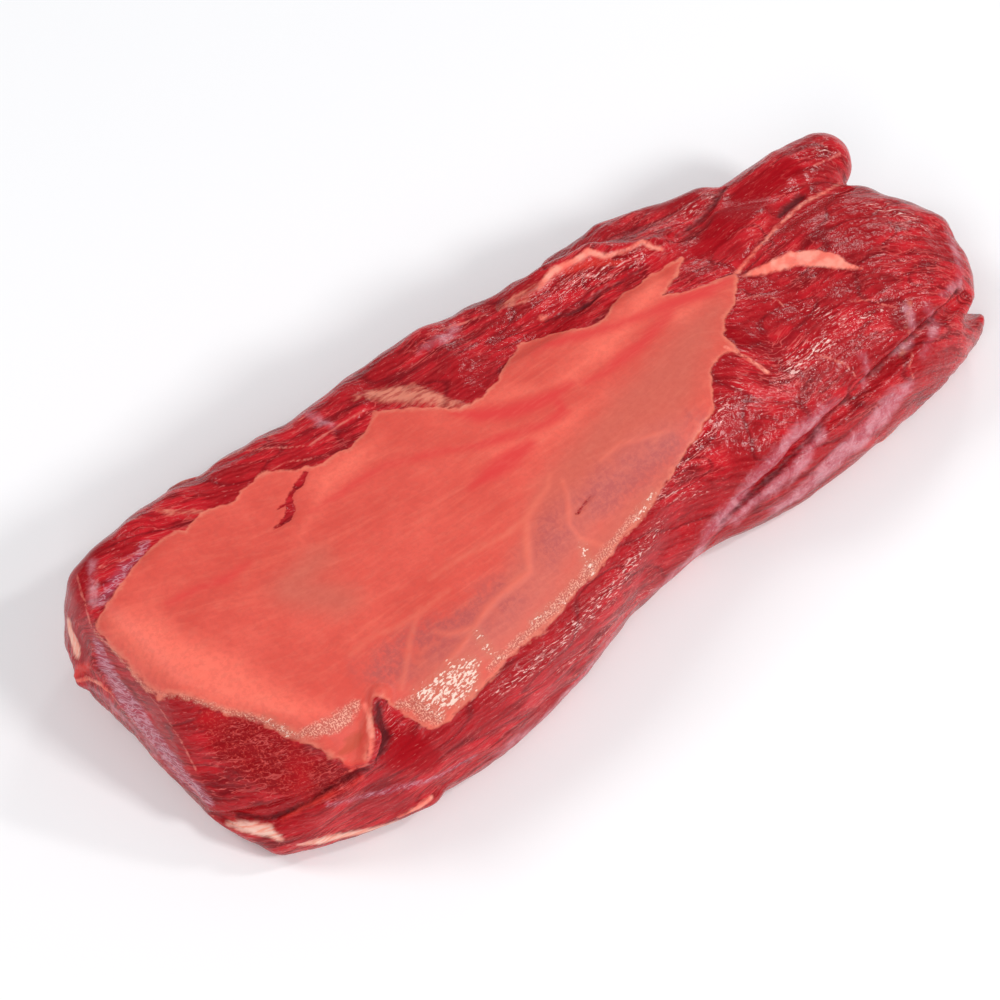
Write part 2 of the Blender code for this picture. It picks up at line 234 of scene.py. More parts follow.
# Silverskin with painted sheen: a lilac film, and along the lower front edge a painted reflection
SILVERSKIN_AND_SHEEN = [
    [(86, 552, 0.8), (91, 565, 0.8), (94, 582, 0.8), (94, 605, 0.8)],
    [(835, 398, 1), (822, 410, 2.4), (806, 424, 3), (790, 440, 3.2), (773, 458, 3.4), (756, 476, 3.6),
     (740, 496, 3.6), (722, 516, 3.6), (708, 534, 3), (694, 556, 2)],
    [(910, 384, 1.6), (892, 400, 5), (872, 424, 5.8), (850, 446, 5.8), (826, 468, 5.4), (800, 492, 4.6),
     (775, 508, 3.4)],
    [(820, 430, 2), (800, 462, 3.2), (776, 486, 3.2), (752, 502, 2.8), (735, 520, 2.2)],
    [(906, 306, 1), (912, 322, 1.2), (910, 338, 0.8), (896, 350, 0.8)],
    [(926, 306, 1.4), (934, 320, 1.8), (930, 336, 1.2), (922, 352, 0.8)],
    [(948, 232, 1.2), (957, 256, 1.4), (956, 282, 1.4), (942, 292, 0.8)],
    [(860, 352, 0.6), (866, 366, 1.2), (862, 382, 1)],
    [(700, 552, 2.4), (668, 583, 2.2), (640, 613, 1.8), (610, 646, 1.2), (570, 690, 1.2), (530, 732, 1.6),
     (500, 752, 1.6)],
    [(300, 415, 1), (320, 422, 1), (335, 427, 0.6)],
    [(420, 350, 0.6), (440, 340, 1.2), (455, 330, 0.8)],
]
# Silverskin net on the sawn ends: pale threads over a purple painted sheen
WEB_AND_SHEEN = [
    [(98, 648, 3), (116, 686, 6), (146, 728, 8), (182, 774, 7), (208, 802, 3)],
    [(330, 806, 0.6), (360, 799, 1.2), (400, 789, 1.2), (440, 777, 1.2), (475, 757, 0.6)],
    [(100, 606, 1.4), (110, 592, 2.6), (128, 568, 2.6), (146, 546, 1.4)],
]
# Painted highlights: pale flecks and lines are painted where glints show; the bump and gloss are also raised
# there
GLINTS = [
    [(560, 292, 3), (600, 272, 4), (640, 256, 3)],
    [(660, 224, 3), (690, 208, 4), (712, 192, 2)],
    [(775, 385, 3), (795, 360, 6), (825, 340, 5)],
    [(870, 203, 4), (900, 212, 5), (922, 226, 3)],
    [(800, 305, 3), (840, 320, 4), (880, 310, 3)],
    [(635, 508, 2), (675, 490, 3), (700, 490, 2)],
    [(740, 385, 3), (720, 405, 3), (700, 440, 3), (676, 470, 3)],
    [(660, 525, 3), (630, 568, 5), (604, 598, 5), (570, 632, 5), (538, 664, 4.6), (500, 692, 3.4)],
    [(390, 712, 1), (394, 724, 1.4), (398, 740, 0)],
    [(650, 590, 2), (600, 640, 2), (560, 670, 1)],
    [(812, 150, 3), (830, 145, 2)],
]
# Painted highlights: near-white specks on the fascia's front edge, over a granular bump
SPARKLES = [
    [(420, 696, 1), (436, 694, 4), (450, 688, 6), (462, 680, 6), (472, 666, 2)],
    [(430, 706, 1), (440, 712, 1)],
    [(583, 548, 0), (588, 560, 0.4), (592, 572, 0)],
    [(566, 602, -1), (550, 610, -0.6), (532, 622, -1)],
    [(477, 634, -0.4), (488, 650, 0), (500, 658, -0.4)],
    [(652, 494, -0.6), (645, 506, 0), (636, 518, -0.6)],
    [(270, 722, -0.6), (292, 734, 0)],
]
CUT = [
    [(212, 722, 6), (240, 742, 13), (275, 762, 14), (310, 780, 11), (345, 782, 6)],
]
PALE = [
    [(657, 280, 6), (644, 300, 7), (622, 326, 7), (600, 350, 8), (570, 374, 6), (540, 388, 4), (500, 396, 3)],
    [(700, 300, 4), (680, 316, 6)],
    [(600, 396, 3), (570, 420, 5), (540, 440, 5), (500, 452, 3)],
    [(380, 440, 4), (330, 480, 5), (300, 540, 4)],
    [(120, 628, 8), (150, 640, 12), (190, 664, 14), (240, 690, 12), (290, 710, 8), (330, 716, 4)],
]
# Calmer, darker muscle; in the notch wall and behind the flap this darker red is painted shade
SMOOTH_AND_SHADE = [
    [(700, 250, 5), (730, 215, 8), (755, 185, 8), (790, 165, 5)],
    [(730, 330, 3), (745, 338, 4), (760, 335, 3)],
    [(392, 716, 2), (396, 735, 4), (405, 752, 9), (430, 760, 6)],
    [(74, 600, 10), (80, 570, 9), (106, 540, 6), (150, 505, 3)],
    [(74, 640, 8), (84, 665, 6)],
    [(68, 585, 8), (66, 620, 8)],
    [(570, 235, 6), (600, 218, 8), (650, 206, 6), (690, 198, 3)],
    [(560, 700, 8), (620, 645, 8), (520, 740, 6)],
]

STROKES = {
    "fat": FAT,
    "cream": CREAM,
    "tallow": TALLOW,
    "frost": FROST,
    "amber": AMBER,
    "strand": [[(*point, STRAND_WIDTH) for point in line] for line in STRANDS],
    "vein": VEINS,
    "streak": STREAKS,
    "beige": BEIGE,
    "grey": GREY,
    "painted_shade": PAINTED_SHADE_CREASES,
    "open": OPEN,
    "lip": LIPS,
    "silverskin_and_sheen": SILVERSKIN_AND_SHEEN,
    "web_and_sheen": WEB_AND_SHEEN,
    "glint": GLINTS,
    "sparkle": SPARKLES,
    "smooth": SMOOTH_AND_SHADE,
    "cut": CUT,
    "pale": PALE,
}

# Strokes on the sides that the picture doesn't show: (x, y, z, half width) near the skin
HIDDEN = {
    "fat": [
        [(-150, 66, 22, 0.4), (-125, 70, 27, 1.8), (-105, 73, 26, 2.6), (-80, 76, 31, 1.2), (-62, 77, 33, 0.4)],
        [(222, 10, 20, 0.5), (226, -8, 24, 1.4), (222, -22, 20, 0.5)],
    ],
    "silverskin_and_sheen": [
        [(-40, 78, 26, 0.5), (-10, 79, 22, 2), (20, 80, 21, 2.4), (50, 80, 26, 1)],
        [(150, 62, 24, 0.5), (185, 55, 22, 2), (215, 40, 26, 1)],
        [(-182, 50, 18, 1), (-184, 20, 22, 2), (-182, -10, 18, 1)],
    ],
}

# How the fibres run: lines in the picture, each drawn towards the neck end or down the sawn end
FLOW = [
    [(130, 640), (300, 560), (450, 480), (600, 380), (700, 300)],
    [(200, 690), (350, 650), (480, 590), (600, 500), (690, 420)],
    [(91, 632), (98, 608), (110, 580), (140, 548), (180, 520), (250, 475), (340, 430)],
    [(230, 460), (300, 420), (360, 385), (440, 350), (500, 320)],
    [(400, 350), (480, 305), (560, 262), (600, 235), (660, 210), (720, 190)],
    [(550, 305), (600, 280), (640, 260)],
    [(655, 262), (690, 235), (720, 200), (745, 180)],
    [(700, 270), (725, 240), (750, 205), (775, 175)],
    [(740, 262), (765, 230), (790, 200)],
    [(745, 185), (780, 160), (810, 140)],
    [(790, 190), (820, 165), (845, 150)],
    [(770, 240), (800, 222), (835, 210), (870, 212), (905, 222), (940, 242)],
    [(770, 290), (800, 282), (830, 270), (870, 264), (910, 266), (950, 265)],
    [(735, 300), (760, 296), (785, 300), (820, 305), (850, 300)],
    [(722, 345), (745, 352), (765, 365)],
    [(770, 385), (795, 365), (820, 345), (840, 330)],
    [(700, 440), (715, 420), (740, 405), (765, 402), (785, 410)],
    [(690, 455), (705, 445), (725, 440)],
    [(680, 475), (710, 462), (735, 458)],
    [(650, 510), (690, 490), (730, 478), (745, 475)],
    [(625, 545), (660, 528), (690, 515)],
    [(600, 575), (640, 560), (680, 545)],
    [(560, 620), (600, 600), (640, 585)],
    [(540, 645), (580, 635), (620, 615), (650, 590)],
    [(430, 760), (480, 740), (540, 710), (590, 675), (630, 635)],
    [(300, 840), (350, 825), (400, 810), (440, 785)],
    [(290, 815), (340, 800), (400, 780), (450, 755), (480, 735)],
    [(190, 715), (240, 735), (290, 760)],
    [(205, 760), (240, 775), (280, 795)],
    [(93, 640), (130, 690), (170, 740), (215, 795)],
    [(82, 660), (73, 625), (76, 585), (94, 550), (130, 515)],
    [(720, 530), (760, 505), (800, 475), (850, 430), (900, 370), (940, 320)],
    [(740, 500), (790, 455), (840, 405), (880, 360), (925, 310)],
    [(900, 400), (940, 360), (970, 335)],
]
FLOW_REACH = 6.0  # millimetres over which one line's lead is even
DEFAULT_REACH = 60.0  # beyond this far from any line the fibres run lengthwise
LAY_ROUNDS = 260


def smooth_step(low, high, value):
    """0 below low, 1 above high, and an even ease between them."""
    t = np.clip((value - low) / (high - low), 0, 1)
    return t * t * (3 - 2 * t)


def smooth_min(a, b, ease):
    """The lower of two distances, with the crease between them eased over this many millimetres."""
    share = np.clip(0.5 + 0.5 * (b - a) / ease, 0, 1)
    return b + (a - b) * share - ease * share * (1 - share)


def smooth_max(a, b, ease):
    return -smooth_min(-a, -b, ease)


def along(curve, x):
    knots, values = np.array(curve, float).T
    return np.interp(x, knots, values)


def closed_curve(points, steps=8):
    """A smooth closed line through the points (Catmull-Rom), steps pieces to a span."""
    p = np.array(points, float)
    before, after, last = np.roll(p, 1, 0), np.roll(p, -1, 0), np.roll(p, -2, 0)
    t = (np.arange(steps) / steps)[:, None, None]
    spans = 0.5 * (
        2 * p
        + (after - before) * t
        + (2 * before - 5 * p + 4 * after - last) * t**2
        + (3 * p - before - 3 * after + last) * t**3
    )
    return spans.transpose(1, 0, 2).reshape(-1, p.shape[1])


def outline_distance(x, y, line):
    """Distance in plan from a closed line, negative inside it."""
    nearest, inside = np.inf, False
    for (ax, ay), (bx, by) in zip(line, np.roll(line, -1, 0)):
        dx, dy = bx - ax, by - ay
        t = np.clip(((x - ax) * dx + (y - ay) * dy) / (dx * dx + dy * dy), 0, 1)
        nearest = np.minimum(nearest, (x - ax - t * dx) ** 2 + (y - ay - t * dy) ** 2)
        if ay != by:
            crosses = (ay > y) != (by > y)
            inside = inside ^ (crosses & (x < (bx - ax) * (y - ay) / (by - ay) + ax))
    return np.where(inside, -1, 1) * np.sqrt(nearest)


def roll(x, y, z, points):
    """Distance outside a tapered rope: points are (x, y, z, radius)."""
    nearest = np.inf
    if len(points) == 1:
        points = [points[0], np.add(points[0], [0.1, 0, 0, 0])]
    for a, b in zip(points, points[1:]):
        step = np.subtract(b, a)
        span = step[:3] @ step[:3]
        t = ((x - a[0]) * step[0] + (y - a[1]) * step[1] + (z - a[2]) * step[2]) / span
        t = np.clip(t, 0, 1)
        away = np.sqrt(
            (x - a[0] - t * step[0]) ** 2 + (y - a[1] - t * step[1]) ** 2 + (z - a[2] - t * step[2]) ** 2
        )
        nearest = np.minimum(nearest, away - a[3] - t * step[3])
    return nearest


def plane(x, y, z, point, normal):
    """Distance in front of a plane."""
    n = np.array(normal, float)
    n /= np.sqrt(n @ n)
    return (x - point[0]) * n[0] + (y - point[1]) * n[1] + (z - point[2]) * n[2]


def slab(x, y, z):
    """The main body: flat below, its sides rounded over to a broad crown."""
    plan = outline_distance(x, y, closed_curve(OUTLINE))
    front = smooth_step(20, -60, y) * smooth_step(-175, -110, x)
    neck = smooth_step(120, 190, x) * smooth_step(0, 40, y)
    reach = 18 + 38 * front + 12 * neck
    crown = along(CROWN, x) - 5 * smooth_step(0, -80, y) * smooth_step(-60, 60, x)
    over = np.maximum(1 + plan / reach, 0)
    up = np.maximum(z - BULGE_HEIGHT, 0) / (crown - BULGE_HEIGHT)
    upper = (over**2.4 + up**2.4) ** (1 / 2.4) - 1
    under = np.maximum(1 + plan / UNDER_EDGE, 0)
    down = np.maximum(BULGE_HEIGHT - z, 0) / BULGE_HEIGHT
    lower = np.sqrt(under**2 + down**2) - 1
    return np.where(z > BULGE_HEIGHT, upper * reach * 0.8, lower * UNDER_EDGE)


def lumps(x, y, z):
    """Gentle swellings of the bare muscle, in millimetres; none on the fascia or at the table."""
    chance = np.random.default_rng(LUMP_SEED)
    total = 0
    for _ in range(LUMP_WAVES):
        way = chance.normal(size=3) * [0.7, 1, 1]
        pace = 2 * np.pi / chance.uniform(*LUMP_LENGTHS)
        total = total + np.sin(pace * (x * way[0] + y * way[1] + z * way[2]) + chance.uniform(0, 2 * np.pi))
    bare = smooth_step(0, 10, outline_distance(x, y, closed_curve(FASCIA, 2)))
    shown = smooth_step(2, 14, z) * np.maximum(bare, smooth_step(50, 40, z))
    return LUMP_HEIGHT * shown * total * np.sqrt(2 / LUMP_WAVES)


def meat(x, y, z):
    """Negative inside the roast, in millimetres."""
    whole = slab(x, y, z)
    for point, normal in CUTS:
        whole = smooth_max(whole, plane(x, y, z, point, normal), 2.5)
    for rope in MUSCLES.values():
        whole = smooth_min(whole, roll(x, y, z, rope), 4)
    for rope in CREASES.values():
        whole = smooth_max(whole, -roll(x, y, z, rope), 3)
    return np.maximum(whole - lumps(x, y, z), -z)


def close_pinches(value):
    """Fills in lattice points where the meat would only meet itself along an edge or at a corner."""
    cube = [(a, b, c) for a in (0, 1) for b in (0, 1) for c in (0, 1)]
    part = {0: slice(None, -1), 1: slice(1, None)}
    for _ in range(PINCH_ROUNDS):
        before = value.copy()
        for pair in ((0, 1), (0, 2), (1, 2)):
            v = np.moveaxis(value, pair, (0, 1))
            a, b, c, d = v[:-1, :-1], v[1:, 1:], v[1:, :-1], v[:-1, 1:]
            c[(a < 0) & (b < 0) & (c >= 0) & (d >= 0)] = -PINCH_FILL
            a[(c < 0) & (d < 0) & (a >= 0) & (b >= 0)] = -PINCH_FILL
        corners = {k: value[part[k[0]], part[k[1]], part[k[2]]] for k in cube}
        for k in cube[:4]:
            far = tuple(1 - i for i in k)
            rest = sum((corners[j] < 0).astype(int) for j in cube if j not in (k, far))
            both_in = (corners[k] < 0) & (corners[far] < 0) & (rest == 0)
            both_out = (corners[k] >= 0) & (corners[far] >= 0) & (rest == 6)
            corners[cube[(cube.index(k) + 1) % 8]][both_in] = -PINCH_FILL
            corners[k][both_out] = -PINCH_FILL
        if np.array_equal(before, value):
            return


def skin(solid, cell, low, high):
    """The closed quad mesh where solid() is zero, on a lattice of this cell size, as (points, faces)."""
    axes = [np.arange(a - 2 * cell, b + 3 * cell, cell) for a, b in zip(low, high)]
    value = solid(*np.meshgrid(*axes, indexing="ij", sparse=True))
    close_pinches(value)
    shape = np.array(value.shape)
    total, count = np.zeros([*(shape - 1), 3]), np.zeros(shape - 1)
    inside = value < 0
    crossings = []
    for axis in range(3):
        near = [slice(None)] * 3
        far = [slice(None)] * 3
        near[axis], far[axis] = slice(None, -1), slice(1, None)
        crosses = inside[tuple(near)] != inside[tuple(far)]
        where = np.argwhere(crosses)
        a, b = value[tuple(near)][crosses], value[tuple(far)][crosses]
        point = where.astype(float)
        point[:, axis] += a / (a - b)
        others = [i for i in range(3) if i != axis]
        for da in (0, 1):
            for db in (0, 1):
                home = where.copy()
                home[:, others[0]] -= da
                home[:, others[1]] -= db
                np.add.at(total, tuple(home.T), point)
                np.add.at(count, tuple(home.T), 1)
        crossings.append((axis, where, inside[tuple(near)][crosses]))
    used = count > 0
    index = np.full(shape - 1, -1)
    index[used] = np.arange(used.sum())
    origin = np.array([a[0] for a in axes])
    points = total[used] / count[used][:, None] * cell + origin
    faces = []
    for axis, where, starts_inside in crossings:
        u, v = [(1, 2), (2, 0), (0, 1)][axis]
        ring = []
        for du, dv in ((0, 0), (1, 0), (1, 1), (0, 1)):
            home = where.copy()
            home[:, u] -= du
            home[:, v] -= dv
            ring.append(index[tuple(home.T)])
        quad = np.stack(ring, 1)
        faces.append(np.where(starts_inside[:, None], quad, quad[:, ::-1]))
    return points, np.concatenate(faces)


def camera_axes():
    """The camera's right, up and forward directions."""
    a, e = np.radians(CAMERA_ROUND), np.radians(CAMERA_OVER)
    right = np.array([np.cos(a), -np.sin(a), 0])
    forward = np.array([np.sin(a) * np.cos(e), np.cos(a) * np.cos(e), -np.sin(e)])
    return right, np.cross(right, forward), forward


def shown_at(pixels):
    """The skin's points that show at these places in the picture, before the mesh is centred."""
    right, up, forward = camera_axes()
    eye = np.array(LOOKED_AT) - forward * CAMERA_AWAY + [*CENTRE, 0]
    across, down = (np.array(pixels, float) - PICTURE_MIDDLE).T * MM_A_PIXEL / CAMERA_AWAY
    ray = forward + across[:, None] * right - down[:, None] * up
    ray /= np.linalg.norm(ray, axis=1)[:, None]
    gone = np.full(len(ray), CAMERA_AWAY - 150)
    for _ in range(90):
        point = eye + ray * gone[:, None]
        gone += np.clip(0.6 * meat(*point.T), -4, 9)
    return eye + ray * gone[:, None]


def on_skin(strokes):
    """Strokes as ropes of (x, y, z, half width) on the skin; a point that misses the meat is left out."""
    flat = [point for stroke in strokes for point in stroke]
    placed = shown_at([p[:2] for p in flat])
    hits = np.abs(meat(*placed.T)) < 1
    ropes, start = [], 0
    for stroke in strokes:
        ends = range(start, start + len(stroke))
        ropes.append([(*placed[i], flat[i][2]) for i in ends if hits[i]])
        start += len(stroke)
    return [rope for rope in ropes if rope]


def hidden_ropes(name):
    ropes = []
    for stroke in HIDDEN.get(name, []):
        placed = settle(np.array(stroke, float)[:, :3], 4)
        ropes.append([(*place, point[3]) for place, point in zip(placed, stroke)])
    return ropes


def inside_strokes(points, name):
    """How far each point is inside the nearest stroke of this name, in millimetres; negative outside."""
    ropes = on_skin(STROKES[name]) + hidden_ropes(name)
    return -np.minimum.reduce([roll(*points.T, rope) for rope in ropes])


def lattice_noise(coords, seed):
    """Smooth noise from -1 to 1 that changes over about one unit of each coordinate."""
    table = np.random.default_rng(seed).uniform(-1, 1, 4096)
    cell = np.floor(coords).astype(np.int64)
    part = coords - cell
    part = part * part * (3 - 2 * part)
    total = 0
    for corner in ((a, b, c) for a in (0, 1) for b in (0, 1) for c in (0, 1)):
        at = cell + corner
        key = (at[:, 0] * 73856093) ^ (at[:, 1] * 19349663) ^ (at[:, 2] * 83492791)
        weight = np.prod(np.where(np.array(corner) == 1, part, 1 - part), axis=1)
        total = total + weight * table[(key ^ (key >> 13)) & 4095]
    return total


def object_from(name, points, faces):
    mesh = bpy.data.meshes.new(name)
    mesh.from_pydata(points.tolist(), [], faces.tolist())
    piece = bpy.data.objects.new(name, mesh)
    bpy.context.scene.collection.objects.link(piece)
    return piece


def positions(mesh):
    flat = np.empty(len(mesh.vertices) * 3, np.float32)
    mesh.vertices.foreach_get("co", flat)
    return flat.reshape(-1, 3).astype(float)


def directions(mesh):
    flat = np.empty(len(mesh.vertices) * 3, np.float32)
    mesh.vertex_normals.foreach_get("vector", flat)
    return flat.reshape(-1, 3).astype(float)


def move_to(mesh, points):
    mesh.vertices.foreach_set("co", points.astype(np.float32).ravel())
    mesh.update()


def apply_subdivision(piece):
    """Refines the mesh once, each face into four, and keeps the result."""
    finer = piece.modifiers.new("finer", "SUBSURF")
    finer.levels = finer.render_levels = 1
    finer.use_limit_surface = False
    copy = bpy.data.meshes.new_from_object(piece.evaluated_get(bpy.context.evaluated_depsgraph_get()))
    piece.modifiers.clear()
    piece.data = copy


def settle(points, rounds=1):
    """Moves points onto the skin, along the slope of meat()."""
    step = 0.4
    for _ in range(rounds):
        value = meat(*points.T)
        slope = np.stack([meat(*(points + step * axis).T) - value for axis in np.eye(3)], 1) / step
        size = np.maximum((slope**2).sum(1), 0.2)
        points = points - slope * np.clip(value / size, -1.5, 1.5)[:, None]
    points[:, 2] = np.maximum(points[:, 2], 0)
    return points


def flow_at(points):
    """The direction of the fibres at each point, led by the nearest lines of FLOW."""
    total = np.zeros_like(points) + [1 / DEFAULT_REACH**4, 0, 0]
    for rope in on_skin([[(*p, 0) for p in line] for line in FLOW]):
        places = np.array(rope)[:, :3]
        for a, b in zip(places, places[1:]):
            lead = (b - a) / np.linalg.norm(b - a)
            t = np.clip((points - a) @ (b - a) / ((b - a) @ (b - a)), 0, 1)[:, None]
            away = ((points - a - t * (b - a)) ** 2).sum(1)[:, None]
            total += lead / (away + FLOW_REACH**2) ** 2
    return total


def unit(vectors):
    return vectors / np.maximum(np.linalg.norm(vectors, axis=1), 1e-9)[:, None]


def edge_pairs(mesh):
    flat = np.empty(len(mesh.edges) * 2, np.int32)
    mesh.edges.foreach_get("vertices", flat)
    return flat.reshape(-1, 2).T


def fibre_lay(mesh):
    """Coordinates along and across the fibres, in millimetres, that follow flow_at() over the skin."""
    points, normals = positions(mesh), directions(mesh)
    lead = flow_at(points)
    lead = unit(lead - (lead * normals).sum(1)[:, None] * normals)
    side = np.cross(normals, lead)
    i, j = edge_pairs(mesh)
    step = points[j] - points[i]
    pull = np.where((points[i, 2] + points[j, 2]) < 1, 0.02, 1.0)
    girth = points[:, 1] + np.tanh(points[:, 1] / 25) * (60 - points[:, 2])
    lay = []
    for way, guess in ((lead, points[:, 0]), (side, girth)):
        wanted = ((way[i] + way[j]) / 2 * step).sum(1) * pull
        lay.append(solve_edges(i, j, pull, wanted, guess))
    return np.stack([*lay, 0.2 * points[:, 2]], 1)


def solve_edges(i, j, pull, wanted, value):
    """Values whose steps along the edges are closest to those wanted (conjugate gradients)."""
    count = len(value)

    def spread(v):
        flow = pull * (v[j] - v[i])
        return np.bincount(j, flow, count) - np.bincount(i, flow, count)

    weight = np.bincount(i, pull, count) + np.bincount(j, pull, count)
    rest = np.bincount(j, wanted, count) - np.bincount(i, wanted, count) - spread(value)
    near = rest / weight
    way, size = near.copy(), rest @ near
    for _ in range(LAY_ROUNDS):
        spread_way = spread(way)
        share = size / (way @ spread_way)
        value = value + share * way
        rest = rest - share * spread_way
        near = rest / weight
        size, last = rest @ near, size
        way = near + size / last * way
    return value


def fibres(lay, seed, along_mm, across_mm):
    return lattice_noise(lay / [along_mm, across_mm, across_mm] + seed, seed)


def relief(points, masks):
    """Height of the surface detail over the smooth skin, in millimetres."""
    lay = masks["lay"]
    bare = smooth_step(0.6, -0.6, masks["sheet"])
    calm = 1 - 0.7 * smooth_step(-2, 3, np.maximum(masks["smooth"], masks["cut"]))
    bundle = np.abs(masks["groove"]) ** 0.7 - 0.5
    strand = np.abs(fibres(lay, 12, 11, 2.8)) ** 0.8 - 0.4
    wave = lattice_noise(points / 15.0, 14)
    crumple = lattice_noise(points / 3.4, 13)
    rough = smooth_step(-3, 2, masks["glint"])
    muscle = calm * (0.75 * bundle + 0.4 * strand + (0.1 + 0.2 * rough) * crumple) + 0.35 * wave
    grain = smooth_step(-1.5, 1.5, np.maximum(masks["sparkle"], masks["frost"]))
    sheet = 0.12 * lattice_noise(points / [14, 6, 6], 15) + (0.04 + 0.18 * grain) * crumple
    height = bare * muscle + (1 - bare) * (0.35 + sheet)
    height += 0.6 * smooth_step(-0.6, 0.8, np.maximum(masks["fat"], masks["cream"])) * bare
    height += 0.3 * smooth_step(-0.5, 2.0, masks["cream"]) * strand
    height += 0.5 * smooth_step(-0.8, 0.8, masks["lip"])
    height += 0.2 * smooth_step(-0.8, 0.4, masks["strand"]) * bare
    height += 0.2 * smooth_step(-0.6, 0.6, masks["vein"]) * (1 - bare)
    # the painted shade strokes are also sunk into the skin as creases
    height -= 1.2 * smooth_step(-1.0, 0.8, masks["painted_shade"])
    height -= 0.9 * smooth_step(-0.5, 0.5, masks["open"])
    return height * smooth_step(0.3, TABLE_SKIN + 3, points[:, 2])


def write_masks(mesh, masks):
    for name, values in masks.items():
        kind = "FLOAT_VECTOR" if values.ndim == 2 else "FLOAT"
        slot = mesh.attributes.new(name, kind, "POINT")
        key = "vector" if values.ndim == 2 else "value"
        slot.data.foreach_set(key, values.astype(np.float32).ravel())


def read_lay(mesh):
    flat = np.empty(len(mesh.vertices) * 3, np.float32)
    mesh.attributes["lay"].data.foreach_get("vector", flat)
    return flat.reshape(-1, 3).astype(float)


def build_meat():
    reach = np.array([LENGTH / 2 + 9, WIDTH / 2 + 9, THICKNESS])
    middle = np.array([*CENTRE, 0])
    points, faces = skin(meat, CELL, middle - reach * [1, 1, 0], middle + reach)
    piece = object_from("raw_roast", points, faces)
    write_masks(piece.data, {"lay": fibre_lay(piece.data)})
    apply_subdivision(piece)
    mesh = piece.data
    points = settle(positions(mesh))
    move_to(mesh, points)
    edge = shown_at(FASCIA_SHOWN)[:, :2]
    sheet = -outline_distance(points[:, 0], points[:, 1], edge)
    masks = {"sheet": np.minimum(sheet, (directions(mesh)[:, 2] - 0.35) * 14)}
    masks.update({name: inside_strokes(points, name) for name in STROKES})
    lay = read_lay(mesh)
    masks["groove"] = fibres(lay, 11, 26, 5.5)
    height = relief(points, {**masks, "lay": lay})
    points = points + directions(mesh) * height[:, None]
    points[:, 2] = np.maximum(points[:, 2], 0)
    move_to(mesh, (points - middle) * METRES)
    write_masks(mesh, masks)
    mesh.shade_smooth()
    return piece


def srgb(red, green, blue):
    """A colour given as 0 to 255 on a screen, as the shader's linear values."""
    share = np.array([red, green, blue]) / 255
    linear = np.where(share <= 0.04045, share / 12.92, ((share + 0.055) / 1.055) ** 2.4)
    return (*linear, 1)


class Shading:
    """Short ways to add and join shader nodes."""

    def __init__(self, material):
        material.use_nodes = True
        self.tree = material.node_tree
        self.tree.nodes.clear()

    def node(self, kind, **inputs):
        made = self.tree.nodes.new(kind)
        for name, value in inputs.items():
            self.set(made, name.replace("_", " "), value)
        return made

    def set(self, node, name, value):
        socket = node.inputs[name] if not name.isdigit() else node.inputs[int(name)]
        if isinstance(value, bpy.types.NodeSocket):
            self.tree.links.new(value, socket)
        else:
            socket.default_value = value

    def math(self, operation, a, b=0.0, c=0.0, clamp=False):
        made = self.tree.nodes.new("ShaderNodeMath")
        made.operation = operation
        made.use_clamp = clamp
        for i, value in enumerate((a, b, c)):
            self.set(made, str(i), value)
        return made.outputs[0]

    def mix(self, share, a, b):
        made = self.tree.nodes.new("ShaderNodeMix")
        made.data_type = "RGBA"
        self.set(made, "0", share)
        self.set(made, "6", a)
        self.set(made, "7", b)
        return made.outputs[2]

    def ramp(self, value, low, high, bottom=0.0, top=1.0):
        """value from low to high becomes bottom to top, smoothly."""
        made = self.tree.nodes.new("ShaderNodeMapRange")
        made.interpolation_type = "SMOOTHSTEP"
        for i, number in enumerate((value, low, high, bottom, top)):
            self.set(made, str(i), number)
        return made.outputs[0]

    def attribute(self, name):
        made = self.tree.nodes.new("ShaderNodeAttribute")
        made.attribute_name = name
        return made.outputs["Vector"] if name == "lay" else made.outputs["Fac"]

    def stretched(self, vector, along_mm, across_mm, offset):
        """Fibre coordinates scaled so that one unit is this long and this wide."""
        made = self.tree.nodes.new("ShaderNodeMapping")
        self.set(made, "Vector", vector)
        made.inputs["Location"].default_value = (offset, offset * 0.7, offset * 0.3)
        made.inputs["Scale"].default_value = (1 / along_mm, 1 / across_mm, 1 / across_mm)
        return made.outputs[0]

    def noise(self, vector, scale=1.0, detail=2.0, roughness=0.5, distortion=0.0):
        made = self.tree.nodes.new("ShaderNodeTexNoise")
        self.set(made, "Vector", vector)
        made.inputs["Scale"].default_value = scale
        made.inputs["Detail"].default_value = detail
        made.inputs["Roughness"].default_value = roughness
        made.inputs["Distortion"].default_value = distortion
        return made.outputs["Fac"]

    def ridges(self, value):
        """0 along the lines where a noise crosses its middle, rising to 1 between them."""
        return self.math("ABSOLUTE", self.math("MULTIPLY_ADD", value, 4.0, -2.0))

    def part(self, vector, axis):
        made = self.tree.nodes.new("ShaderNodeSeparateXYZ")
        self.set(made, "Vector", vector)
        return made.outputs[axis]

    def blend(self, share, a, b):
        made = self.tree.nodes.new("ShaderNodeMix")
        for name, value in (("0", share), ("2", a), ("3", b)):
            self.set(made, name, value)
        return made.outputs[0]

    def bump(self, height):
        """A normal from a height in millimetres."""
        made = self.tree.nodes.new("ShaderNodeBump")
        made.inputs["Strength"].default_value = 1.0
        made.inputs["Distance"].default_value = METRES
        self.set(made, "Height", height)
        return made.outputs[0]


def stroke_mask(s, name, ragged, spread, low, high, most):
    """How far into a stroke's colour a place is: its edge is moved by the noise ragged."""
    shifted = s.math("MULTIPLY_ADD", ragged, spread, s.attribute(name))
    return s.ramp(shifted, low, high, 0, most)


